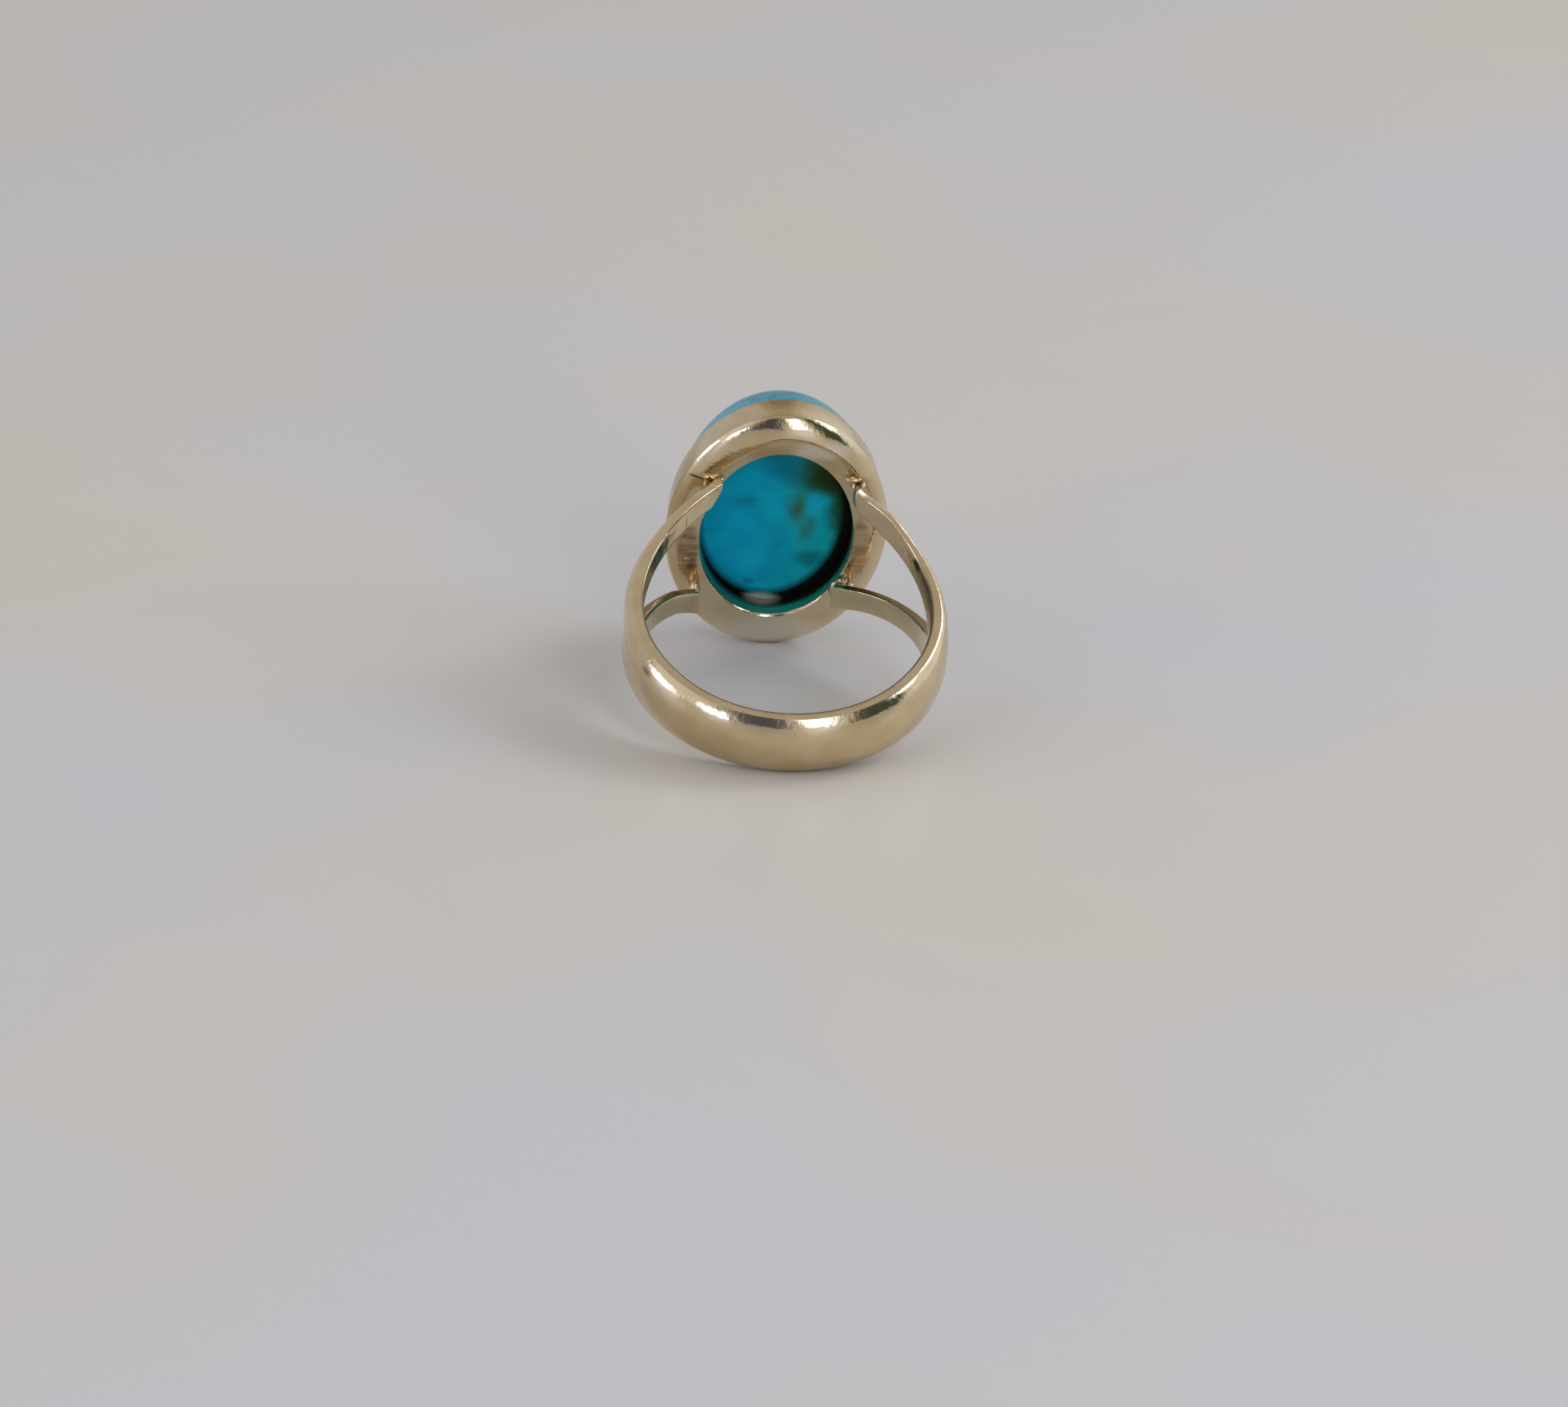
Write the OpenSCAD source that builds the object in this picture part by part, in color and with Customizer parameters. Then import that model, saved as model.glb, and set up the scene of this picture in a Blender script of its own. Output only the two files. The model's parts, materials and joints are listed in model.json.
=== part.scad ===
// A split-shank finger ring with one oval cabochon in an open-backed bezel, lying at rest on a table.
// Ring frame: X across the finger, Y from the finger to the stone, Z along the finger.
// Around the finger, an angle of 0 is at the stone and 180 is at the back of the band.

/* [Finger hole] */
// Diameter of the finger hole
finger_d = 18.1; // [15:0.1:21]

/* [Band] */
// Width of the band at its back
band_w = 4.3; // [3:0.1:6]
// Thickness of the band at its back
band_t = 1.5; // [1.2:0.1:2.2]
// Height of the band's side walls at its back
band_wall = 0.35; // [0.2:0.05:0.6]
// Angle from the stone at which the band splits
split_angle = 88; // [75:1:95]

/* [Arms] */
// Thickness of the arms
arm_t = 1.2; // [1.1:0.05:2]
// Height of the arms' side walls
arm_wall = 0.6; // [0.3:0.05:1]
// Angle from the stone at which the arms are soldered to the base
joint_angle = 30; // [26:1:34]
// Thickness of the arms in the solder
joint_t = 2; // [1.6:0.1:2.4]
// Width over both arms at the base
joint_span = 10.4; // [8:0.1:12]
// Gap between the two arms at the base
joint_gap = 6.7; // [4:0.1:7.5]

/* [Setting] */
// Distance from the finger hole to the back of the base
base_clearance = 0.1; // [0.05:0.05:0.5]
// Height of the base's rolled edge, from its back to the bezel's seam
base_t = 0.75; // [0.6:0.05:1.2]
// Depth from the base's back to the stone's seat
seat_depth = 1.55; // [1:0.05:1.8]
// Width of the opening in the base
opening_w = 9.7; // [8:0.1:11]
// Length of the opening in the base
opening_l = 14; // [12:0.1:15]
// Width over the base's flat back
back_w = 12.1; // [11:0.1:13]
// Length over the base's flat back
back_l = 16.9; // [16:0.1:18]
// Depth of the step inside the polished lip of the base's back
lip_step = 0.12; // [0.05:0.01:0.2]
// Height of the bezel wall above its seam
bezel_h = 1.75; // [1.5:0.05:2.2]
// Thickness of the bezel wall
bezel_t = 0.5; // [0.4:0.05:0.7]
// How far the outside of the bezel leans in at its top
bezel_lean = 0.15; // [0.05:0.01:0.25]

/* [Stone] */
// Width of the cabochon
stone_w = 12.9; // [11:0.1:14]
// Length of the cabochon
stone_l = 18.6; // [16:0.1:20]
// Height of the cabochon, from its flat back to the top of its dome
stone_h = 6; // [4:0.1:7]
// Height of the cabochon's straight edge
girdle_h = 0.45; // [0.3:0.05:0.8]
// Gap between the cabochon and the metal
stone_gap = 0.05; // [0.03:0.01:0.1]

/* [Hidden] */
silver = [0.86, 0.82, 0.74];
blue_stone = [0.05, 0.52, 0.58];

// Steps across half of the band, along an arm, round half of the band's back and round an oval
across_steps = 10;
arm_steps = 24;
back_steps = 30;
oval_steps = 96;
// How much more closely the stations lie at the ends of an arm, from 0 to 1
gathering = 0.6;

finger_r = finger_d / 2;
band_half = band_w / 2;
arm_out = joint_span / 2;
arm_in = joint_gap / 2;

// The arms spread slowly at first: this power of the way from the back to the joint.
flare_power = 3;
// Share of the gap's width that opens at once, as a round crotch
crotch_share = 0.4;
// A groove runs this many degrees ahead of the split, and the arms are fully round this many degrees past it.
groove_lead = 24;
groove_tail = 12;
// The band slims down to the arms between these two angles.
slim_from = 155;
slim_to = 90;
// At the joint the solder squares each arm up to this wall height, over this many degrees.
joint_wall = 1.4;
solder_span = 8;
// The arms run on into the base, past the joint, so that the solder has a real bite.
arm_end = joint_angle - 4;
// The band's inner side is drawn this much too deep and is then bored out.
bore_stock = 0.6;

back_y = finger_r + base_clearance;
seam_y = back_y + base_t;
seat_y = back_y + seat_depth;
bezel_top = seam_y + bezel_h;
seam_ledge = 0.1;
seam_round = 0.05;
roll_h = base_t - seam_round;
stone_half = [stone_w / 2, stone_l / 2];
bezel_inside = grown(stone_half, stone_gap);
bezel_outside = grown(bezel_inside, bezel_t);
base_half = grown(bezel_outside, seam_ledge);
back_half = [back_w / 2, back_l / 2];
opening_half = [opening_w / 2, opening_l / 2];
lip_half = mix(opening_half, back_half, 0.55);
dome_h = stone_h - girdle_h;
// A plain ellipse's power is 2, and a little more makes the dome fuller.
dome_power = 2.2;

function mix(a, b, t) = a + (b - a) * t;
function smooth(t) = let (u = min(max(t, 0), 1)) u * u * (3 - 2 * u);
// From 0 at one angle to 1 at a smaller one, with soft ends
function eased(angle, from, to) = smooth((from - angle) / (from - to));
function grown(half, by) = half + [by, by];

// Half the width over the band or over both arms
function outer_edge(angle) =
    band_half + (arm_out - band_half) * pow((180 - angle) / (180 - joint_angle), flare_power);
// Half the gap between the two arms
function gap_edge(angle) =
    let (way = max((split_angle - angle) / (split_angle - joint_angle), 0))
    arm_in * mix(way, sqrt(way), crotch_share);
// Share of a full arm's own rounded section in the section at an angle
function arm_share(angle) = eased(angle, split_angle + groove_lead, split_angle - groove_tail);
function solder(angle) = eased(angle, joint_angle + solder_span, joint_angle);
function slimmed(back, arm, angle) = mix(back, arm, eased(angle, slim_from, slim_to));
function side_wall(angle) = mix(slimmed(band_wall, arm_wall, angle), joint_wall, solder(angle));
function thickness(angle) = mix(slimmed(band_t, arm_t, angle), joint_t, solder(angle));

// Height of the metal over the finger at z, for a dome between two edges
function dome(z, low, high, wall, top) =
    let (u = (2 * z - low - high) / (high - low))
    wall + (top - wall) * sqrt(max(1 - u * u, 0));

function metal_height(angle, z) =
    let (out = outer_edge(angle), gap = gap_edge(angle), wall = side_wall(angle), top = thickness(angle))
    mix(dome(z, -out, out, wall, top), dome(z, gap, out, wall, top), arm_share(angle));

// One section of the upper half: across the outside from its edge to its middle or gap, then back inside.
function half_section(angle) =
    let (out = outer_edge(angle), gap = gap_edge(angle))
    [for (i = [0:across_steps])
        let (z = mix(gap, out, (1 + cos(180 * i / across_steps)) / 2)) [finger_r + metal_height(angle, z), z],
     [finger_r - bore_stock, gap],
     [finger_r - bore_stock, out]];

// The stations run round the back from one pair of arm ends to the other.
arm_stations = [for (i = [0:arm_steps - 1])
    let (even = i / arm_steps, gathered = (1 - cos(180 * even)) / 2)
    mix(arm_end, split_angle, mix(even, gathered, gathering))];
// The last step lies across the very back, so that the ring rests there on a short edge and doesn't rock.
back_stations = [for (i = [0:back_steps]) mix(split_angle, 180, i / (back_steps + 0.5))];
right_stations = concat(arm_stations, back_stations);
stations = concat(right_stations, [for (i = [len(right_stations) - 1:-1:0]) 360 - right_stations[i]]);

function from_stone(angle) = angle > 180 ? 360 - angle : angle;
function is_arm(i) = from_stone(stations[i]) < split_angle - 0.001;
function place(angle, p) = [p[0] * sin(angle), p[0] * cos(angle), p[1]];

// The band and its four arms in one, before the finger hole is bored
module shank_blank() {
    section_size = across_steps + 3;
    half_size = section_size * len(stations);
    upper = [for (angle = stations) for (p = half_section(from_stone(angle))) place(angle, p)];
    lower = [for (p = upper) [p[0], p[1], -p[2]]];
    // The strip between the outside's last point and the inside's first is the wall of the gap.
    gap_strip = across_steps;
    sides = [for (i = [0:len(stations) - 2]) for (j = [0:section_size - 1])
        if (j != gap_strip || is_arm(i) || is_arm(i + 1))
            let (a = i * section_size, k = (j + 1) % section_size)
            [a + j, a + k, a + section_size + k, a + section_size + j]];
    // Each end starts at the arm's outer edge, so that no thin triangle of it crosses the finger hole.
    first_end = [for (j = [section_size:-1:1]) j % section_size];
    last_end = [for (j = [0:section_size - 1]) half_size - section_size + j];
    upper_faces = concat(sides, [first_end, last_end]);
    lower_faces = [for (face = upper_faces) [for (j = [len(face):-1:1]) face[j % len(face)] + half_size]];
    polyhedron(points = concat(upper, lower), faces = concat(upper_faces, lower_faces), convexity = 6);
}

// A loft through ovals that all lie across Y: each ring is [half width, half length, y].
// Each oval has a short edge across both of its ends.
module oval_loft(rings, closed = true) {
    n = oval_steps;
    points = [for (ring = rings) for (i = [0:n - 1])
        let (turn = 360 * (i + 0.5) / n) [ring[0] * cos(turn), ring[2], ring[1] * sin(turn)]];
    last = len(rings) - 1;
    walls = [for (k = [0:closed ? last : last - 1]) for (i = [0:n - 1])
        let (a = k * n, b = ((k + 1) % len(rings)) * n, next = (i + 1) % n)
        [a + i, a + next, b + next, b + i]];
    caps = closed ? [] : [[for (i = [n - 1:-1:0]) i], [for (i = [0:n - 1]) last * n + i]];
    polyhedron(points = points, faces = concat(walls, caps), convexity = 6);
}

function ring_at(half, y) = [half[0], half[1], y];
// The base's rolled edge is a quarter of an oval in section.
rolled_edge = [for (t = [0:15:90]) ring_at(mix(back_half, base_half, sin(t)), back_y + roll_h * (1 - cos(t)))];

// The base and its bezel: up the outside from the back, over the bezel's edge, down to the seat, out at the opening
module setting() {
    edge_round = 0.12;
    seat_round = 0.05;
    mouth_round = 0.1;
    bezel_wall = [
        ring_at(grown(base_half, -seam_round), seam_y),
        ring_at(bezel_outside, seam_y),
        ring_at(grown(bezel_outside, -bezel_lean), bezel_top - edge_round),
        ring_at(grown(bezel_outside, -bezel_lean - edge_round), bezel_top),
        ring_at(grown(bezel_inside, edge_round - stone_gap), bezel_top),
        ring_at(grown(bezel_inside, -stone_gap), bezel_top - edge_round),
        ring_at(bezel_inside, seat_y + girdle_h),
        ring_at(bezel_inside, seat_y)];
    opening = [
        ring_at(grown(opening_half, seat_round), seat_y),
        ring_at(opening_half, seat_y - mouth_round),
        ring_at(opening_half, back_y + lip_step + edge_round),
        ring_at(grown(opening_half, edge_round), back_y + lip_step),
        ring_at(grown(lip_half, -mouth_round), back_y + lip_step),
        ring_at(lip_half, back_y)];
    oval_loft(concat(rolled_edge, bezel_wall, opening));
}

// What rests on the table is the base's rolled edge at its lower end and the lower edge of the band's back.
end_share = cos(180 / oval_steps);
back_angle = right_stations[len(right_stations) - 1];
back_points = [for (p = half_section(back_angle)) [-cos(back_angle) * p[0], p[1]]];
function base_reach(tilt) = max([for (r = rolled_edge) r[1] * end_share * cos(tilt) - r[2] * sin(tilt)]);
function band_reach(tilt) = max([for (p = back_points) p[0] * sin(tilt) + p[1] * cos(tilt)]);
// Halve the range in which the two reach down equally far.
function level_tilt(low, high, rounds) =
    let (middle = (low + high) / 2)
    rounds == 0 ? middle
    : base_reach(middle) > band_reach(middle) ? level_tilt(middle, high, rounds - 1)
    : level_tilt(low, middle, rounds - 1);
rest_tilt = level_tilt(0, 45, 30);
rest_height = band_reach(rest_tilt);

// Half the difference between how far the dome reaches forward and the band back puts the ring over its middle.
dome_root = dome_power / (dome_power - 1);
front_reach = (seat_y + girdle_h) * cos(rest_tilt)
    + pow(pow(stone_half[1] * sin(rest_tilt), dome_root) + pow(dome_h * cos(rest_tilt), dome_root), 1 / dome_root);
back_reach = max([for (p = back_points) p[0] * cos(rest_tilt) + p[1] * sin(rest_tilt)]);
rest_shift = (back_reach - front_reach) / 2;

module at_rest() {
    translate([0, rest_shift, rest_height]) rotate([rest_tilt, 0, 0]) children();
}

module ring_metal() {
    color(silver) at_rest() difference() {
        union() {
            shank_blank();
            setting();
        }
        cylinder(r = finger_r, h = 2 * joint_span, center = true, $fn = 180);
    }
}

module turquoise() {
    low = seat_y + stone_gap;
    girdle_top = low + girdle_h;
    rise = dome_h - stone_gap;
    edge_round = 0.15;
    // The dome ends in a small flat at its top.
    top_share = 0.04;
    dome_rings = [for (t = [90:-9:9])
        let (across = pow(sin(t), 2 / dome_power), up = pow(cos(t), 2 / dome_power))
        ring_at(stone_half * across, girdle_top + rise * up)];
    color(blue_stone) at_rest() oval_loft(concat(
        [ring_at(grown(stone_half, -edge_round), low), ring_at(stone_half, low + edge_round)],
        dome_rings,
        [ring_at(stone_half * top_share, girdle_top + rise)]), closed = false);
}

ring_metal();
turquoise();
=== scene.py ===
# A split-shank ring with an oval turquoise in an open-backed bezel, lying on a pale table.
# Pieces are modelled in the ring's own frame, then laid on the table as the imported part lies:
# X across the finger, Y from the finger to the stone, Z along the finger. An angle is measured
# round the finger, with 0 at the stone and 180 at the back of the band.
import json
from math import acos, atan2, cos, degrees, pi, radians, sin, sqrt

import bpy
from mathutils import Euler, Matrix, Vector


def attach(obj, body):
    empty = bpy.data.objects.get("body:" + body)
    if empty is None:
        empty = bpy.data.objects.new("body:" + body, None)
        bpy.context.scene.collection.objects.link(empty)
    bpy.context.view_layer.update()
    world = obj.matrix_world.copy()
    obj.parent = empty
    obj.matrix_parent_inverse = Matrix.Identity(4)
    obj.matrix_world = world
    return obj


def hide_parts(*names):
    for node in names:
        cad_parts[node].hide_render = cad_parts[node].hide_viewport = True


mm = 0.001

print("1. The packed part")
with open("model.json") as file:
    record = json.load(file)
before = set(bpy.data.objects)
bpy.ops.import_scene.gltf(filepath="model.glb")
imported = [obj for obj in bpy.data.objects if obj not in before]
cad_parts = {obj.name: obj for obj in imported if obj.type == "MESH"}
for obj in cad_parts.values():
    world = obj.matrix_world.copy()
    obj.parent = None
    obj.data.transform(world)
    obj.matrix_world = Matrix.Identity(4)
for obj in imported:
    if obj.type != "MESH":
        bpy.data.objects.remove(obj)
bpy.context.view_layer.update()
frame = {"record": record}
hole = frame["record"]["mounts"][0]
holeAxis = Vector(hole["axis"])
lie = {"place": Vector(hole["pos_m"]), "tilt": atan2(-holeAxis.y, holeAxis.z)}
layMatrix = Matrix.Translation(lie["place"]) @ Matrix.Rotation(lie["tilt"], 4, "X")
print("   the ring leans back by", round(degrees(lie["tilt"]), 2), "degrees")


# Small helpers for modelling

def mix(a, b, t):
    return a + (b - a) * t


def smooth(t):
    u = min(max(t, 0), 1)
    return u * u * (3 - 2 * u)


def eased(value, start, end):
    return smooth((value - start) / (end - start))


def clearSelection():
    if bpy.context.object and bpy.context.object.mode != "OBJECT":
        bpy.ops.object.mode_set(mode="OBJECT")
    bpy.ops.object.select_all(action="DESELECT")


def named(name):
    piece = bpy.context.object
    piece.name = name
    piece.data.name = name
    return piece


# Leave edit mode, select what passes the test, and go back in.
def pick(piece, kind, wanted):
    bpy.ops.object.mode_set(mode="EDIT")
    bpy.ops.mesh.select_mode(type=kind)
    bpy.ops.mesh.select_all(action="DESELECT")
    bpy.ops.object.mode_set(mode="OBJECT")
    mesh = piece.data
    items = {"VERT": mesh.vertices, "EDGE": mesh.edges, "FACE": mesh.polygons}[kind]
    for item in items:
        item.select = wanted(item)
    bpy.ops.object.mode_set(mode="EDIT")


# Close a mesh in edit mode: merge what meets, cap open ends and turn the faces outwards.
def closeUp():
    bpy.ops.mesh.select_mode(type="EDGE")
    bpy.ops.mesh.select_all(action="SELECT")
    bpy.ops.mesh.remove_doubles(threshold=1e-7)
    bpy.ops.mesh.select_all(action="DESELECT")
    bpy.ops.mesh.select_non_manifold()
    bpy.ops.mesh.edge_face_add()
    bpy.ops.mesh.select_all(action="SELECT")
    bpy.ops.mesh.normals_make_consistent(inside=False)
    bpy.ops.object.mode_set(mode="OBJECT")


# Add modifiers with their settings, apply them, and shade smooth.
def finish(piece, modifiers, smoothAngle=40):
    clearSelection()
    piece.select_set(True)
    bpy.context.view_layer.objects.active = piece
    for kind, settings in modifiers:
        modifier = piece.modifiers.new(kind.title(), kind)
        for key, value in settings.items():
            setattr(modifier, key, value)
        bpy.ops.object.modifier_apply(modifier=modifier.name)
    bpy.ops.object.shade_smooth_by_angle(angle=radians(smoothAngle))


# Turn and move a finished piece from the ring's frame to where it lies, and apply that to its mesh.
def layDown(piece):
    clearSelection()
    piece.select_set(True)
    bpy.context.view_layer.objects.active = piece
    piece.rotation_euler = (lie["tilt"], 0, 0)
    piece.location = lie["place"]
    bpy.ops.object.transform_apply(location=True, rotation=True, scale=True)


# Extrude an oval through rings of (half width, half length, y), in millimetres.
def ovalLoft(name, rings, steps):
    clearSelection()
    bpy.ops.mesh.primitive_circle_add(vertices=steps, radius=1, rotation=(pi / 2, 0, 0))
    piece = named(name)
    bpy.ops.object.transform_apply(rotation=True)
    bpy.ops.object.mode_set(mode="EDIT")
    bpy.ops.mesh.select_all(action="SELECT")
    width, length, y = rings[0]
    centre = {"center_override": (0, 0, 0)}
    bpy.ops.transform.resize(value=(width * mm, 1, length * mm), **centre)
    bpy.ops.transform.translate(value=(0, y * mm, 0))
    for nextWidth, nextLength, nextY in rings[1:]:
        bpy.ops.mesh.extrude_edges_move()
        bpy.ops.transform.resize(value=(nextWidth / width, 1, nextLength / length), **centre)
        bpy.ops.transform.translate(value=(0, (nextY - y) * mm, 0))
        width, length, y = nextWidth, nextLength, nextY
    return piece


def grown(oval, by):
    return (oval[0] + by, oval[1] + by)


# The shank: band and four arms

shank = {
    "fingerRadius": 9.05,
    "bandHalf": 2.15,
    "bandTop": 1.5,
    "bandWall": 0.35,
    "splitAngle": 88,
    "armTop": 1.2,
    "armWall": 0.6,
    "armFrom": 155,  # the angles between which the band's section turns into the arms'
    "armFull": 90,
    "splitLead": 24,  # degrees before and after the split over which its domes part
    "splitTail": 12,
    "gapBlunt": 0.4,  # how blunt the gap's end is
    "jointAngle": 30,
    "armOut": 5.2,
    "armIn": 3.35,
    "armEnd": 24,
    "armEnds": {  # where each arm ends on the base, as angles at its outer edge and at the gap
        "upper right": (31, 31.5),
        "lower right": (24, 24.5),
        "upper left": (24.5, 29.5),
        "lower left": (31.5, 32),
    },
    "endSpan": 20,  # degrees over which an arm's end is fitted
    "slim": {"right": 0.62, "left": 0.74},  # how thin the arms have been filed near the setting
    "slimFrom": {"right": 100, "left": 80},
    "slimFull": {"right": 55, "left": 48},
    "bow": 0.62,  # how far the upper right arm's outer edge bows out
    "bowAngles": (31, 53, 60, 100),  # where that starts, is full, starts to end and ends
    "droop": 0.3,  # how far the same edge has been filed down at the setting
    "droopAngles": (31, 50),
    "rimWall": 0.6,  # how thick the band's upper rim is at its edge
    "rimOut": 0.3,  # and how much further out it stands at the back
    "rimAngles": (90, 130),
    "rimStep": (0.06, 0.12),  # how far in the rounded corner of that rim reaches, and how high
    "shoulder": 0.5,  # how far in from the rim the band slopes at about 45 degrees
    "shoulderSlopes": (1.19, 0.67),
    "edge": 0.16,  # how round the edges at the finger are
    "armStations": 44,
    "bandStations": 46,
    "domeSteps": 14,
}


def outerEdge(angle):
    spread = (180 - angle) / (180 - shank["jointAngle"])
    return shank["bandHalf"] + (shank["armOut"] - shank["bandHalf"]) * spread**3


def gapEdge(angle):
    way = max((shank["splitAngle"] - angle) / (shank["splitAngle"] - shank["jointAngle"]), 0)
    return shank["armIn"] * mix(way, sqrt(way), shank["gapBlunt"])


def slimmed(back, arm, angle):
    return mix(back, arm, eased(angle, shank["armFrom"], shank["armFull"]))


def dome(z, low, high, wall, top):
    u = (2 * z - low - high) / (high - low)
    return wall + (top - wall) * sqrt(max(1 - u * u, 0))


def metalHeight(angle, z):
    out, gap = outerEdge(angle), gapEdge(angle)
    wall = slimmed(shank["bandWall"], shank["armWall"], angle)
    top = slimmed(shank["bandTop"], shank["armTop"], angle)
    before, after = shank["splitAngle"] + shank["splitLead"], shank["splitAngle"] - shank["splitTail"]
    split = eased(angle, before, after)
    return mix(dome(z, -out, out, wall, top), dome(z, gap, out, wall, top), split)


# Points (radius, z) round one arm, or round half of the band where there is no gap
def halfSection(angle):
    out, gap, inside = outerEdge(angle), gapEdge(angle), shank["fingerRadius"]
    outerSoft = shank["edge"]
    gapSoft = shank["edge"] * smooth((shank["splitAngle"] - angle) / 8)
    steps = shank["domeSteps"]
    points = []
    for i in range(steps + 1):
        z = mix(gap, out, (1 + cos(pi * i / steps)) / 2)
        points.append((inside + metalHeight(angle, z), z))
    crown = points[-1][0]
    for t in (0.33, 0.66, 1):
        points.append((mix(crown, inside + gapSoft, t), gap))
    for turn in (30, 60, 90):
        drop, along = 1 - sin(radians(turn)), 1 - cos(radians(turn))
        points.append((inside + gapSoft * drop, gap + gapSoft * along))
    for t in (0.2, 0.4, 0.6, 0.8, 1):
        points.append((inside, mix(gap + gapSoft, out - outerSoft, t)))
    for turn in (30, 60, 90):
        drop, along = 1 - cos(radians(turn)), 1 - sin(radians(turn))
        points.append((inside + outerSoft * drop, out - outerSoft * along))
    points.append((mix(inside + outerSoft, points[0][0], 0.5), out))
    return points


# Stations from the right arms' ends round the back to the left arms' ends
def stationAngles():
    side = []
    for i in range(shank["armStations"]):
        even = i / shank["armStations"]
        gathered = (1 - cos(pi * even)) / 2
        side.append(mix(shank["armEnd"], shank["splitAngle"], mix(even, gathered, 0.7)))
    for i in range(shank["bandStations"]):
        side.append(mix(shank["splitAngle"], 180, i / shank["bandStations"]))
    return side + [180] + [360 - angle for angle in reversed(side)]


# The band's height above the finger, by how far in from its upper edge
def shoulderHeight(inward):
    edge, stepHeight = shank["rimStep"]
    shoulder = shank["shoulder"]
    steep, low = shank["shoulderSlopes"]
    middle = shank["bandHalf"] + shank["rimOut"]
    rises = []
    for reached in (inward, middle):
        corner = stepHeight * min(max(reached, 0) / edge, 1)**0.6
        way = min(max(reached - edge, 0), shoulder - edge)
        slope = steep * way - (steep - low) / (2 * (shoulder - edge)) * way * way
        rest = max(reached - shoulder, 0) / (middle - shoulder)
        crown = low * (middle - shoulder) * (1 - (1 - rest)**3) / 3
        rises.append(corner + slope + crown)
    return mix(shank["rimWall"], shank["bandTop"], rises[0] / rises[1])


# Move each arm's end to where it lies on the base, and file the arms thinner there.
def fitArm(side, angle, radius, z):
    start, span, inside = shank["armEnd"], shank["endSpan"], shank["fingerRadius"]
    outer, inner = shank["armEnds"][side]
    across = smooth((abs(z) - shank["armIn"]) / (shank["armOut"] - shank["armIn"]))
    if angle < start + span:
        angle = mix(mix(inner, outer, across), start + span, max(angle - start, 0) / span)
    hand = side.split()[1]
    slim = mix(1, shank["slim"][hand], eased(angle, shank["slimFrom"][hand], shank["slimFull"][hand]))
    radius = inside + (radius - inside) * slim
    if side == "upper right":
        bowStart, bowFull, bowLast, bowEnd = shank["bowAngles"]
        droopFull, droopEnd = shank["droopAngles"]
        bow = shank["bow"] * eased(angle, bowStart, bowFull) * eased(angle, bowEnd, bowLast)
        z += (bow - shank["droop"] * eased(angle, droopEnd, droopFull)) * across
    return angle, radius, z


# Give the upper half of the band its thicker, worn rim, which stands further out.
def wearRim(angle, radius, z):
    inside = shank["fingerRadius"]
    share = eased(angle, *shank["rimAngles"])
    wall = slimmed(shank["bandWall"], shank["armWall"], angle)
    wider = shank["rimOut"] / shank["bandHalf"]
    height = radius - inside
    if height < wall - 0.001:
        worn = height * shank["rimWall"] / wall
    else:
        worn = shoulderHeight((outerEdge(angle) - z) * (1 + wider))
    return inside + mix(height, worn, share), z * (1 + share * wider)


def fitShank(piece):
    for vertex in piece.data.vertices:
        x, y, z = vertex.co / mm
        side = ("upper" if z > 0 else "lower") + (" right" if x > 0 else " left")
        angle, radius, z = fitArm(side, abs(degrees(atan2(x, y))), sqrt(x * x + y * y), z)
        if z > 0 and angle > shank["rimAngles"][0]:
            radius, z = wearRim(angle, radius, z)
        turn = radians(angle if x > 0 else -angle)
        vertex.co = Vector((radius * sin(turn), radius * cos(turn), z)) * mm


def makeShank():
    angles = stationAngles()
    sections = [halfSection(min(angle, 360 - angle)) for angle in angles]
    around, along = len(sections[0]), len(angles) - 1
    clearSelection()
    bpy.ops.mesh.primitive_grid_add(x_subdivisions=along, y_subdivisions=around, size=1)
    piece = named("shank")
    for vertex in piece.data.vertices:
        station = round((vertex.co.x + 0.5) * along)
        step = round((vertex.co.y + 0.5) * around) % around
        radius, z = sections[station][step]
        turn = radians(angles[station])
        vertex.co = Vector((radius * sin(turn), radius * cos(turn), z)) * mm
    # Half of the band has no wall at its middle, where the other half joins it.
    pick(piece, "FACE", lambda face: all(abs(piece.data.vertices[i].co.z) < 1e-8 for i in face.vertices))
    bpy.ops.mesh.delete(type="FACE")
    bpy.ops.mesh.select_all(action="SELECT")
    bpy.ops.mesh.remove_doubles(threshold=1e-7)
    bpy.ops.object.mode_set(mode="OBJECT")
    finish(piece, [("MIRROR", {"use_axis": (False, False, True), "merge_threshold": 1e-6})])
    bpy.ops.object.mode_set(mode="EDIT")
    closeUp()
    fitShank(piece)
    finish(piece, [("SUBSURF", {"levels": 1, "render_levels": 1})])
    return piece


print("2. The shank")
shankPiece = makeShank()


# The setting: a base with a rolled edge and a stepped lip round its opening, and the bezel wall on it

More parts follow.
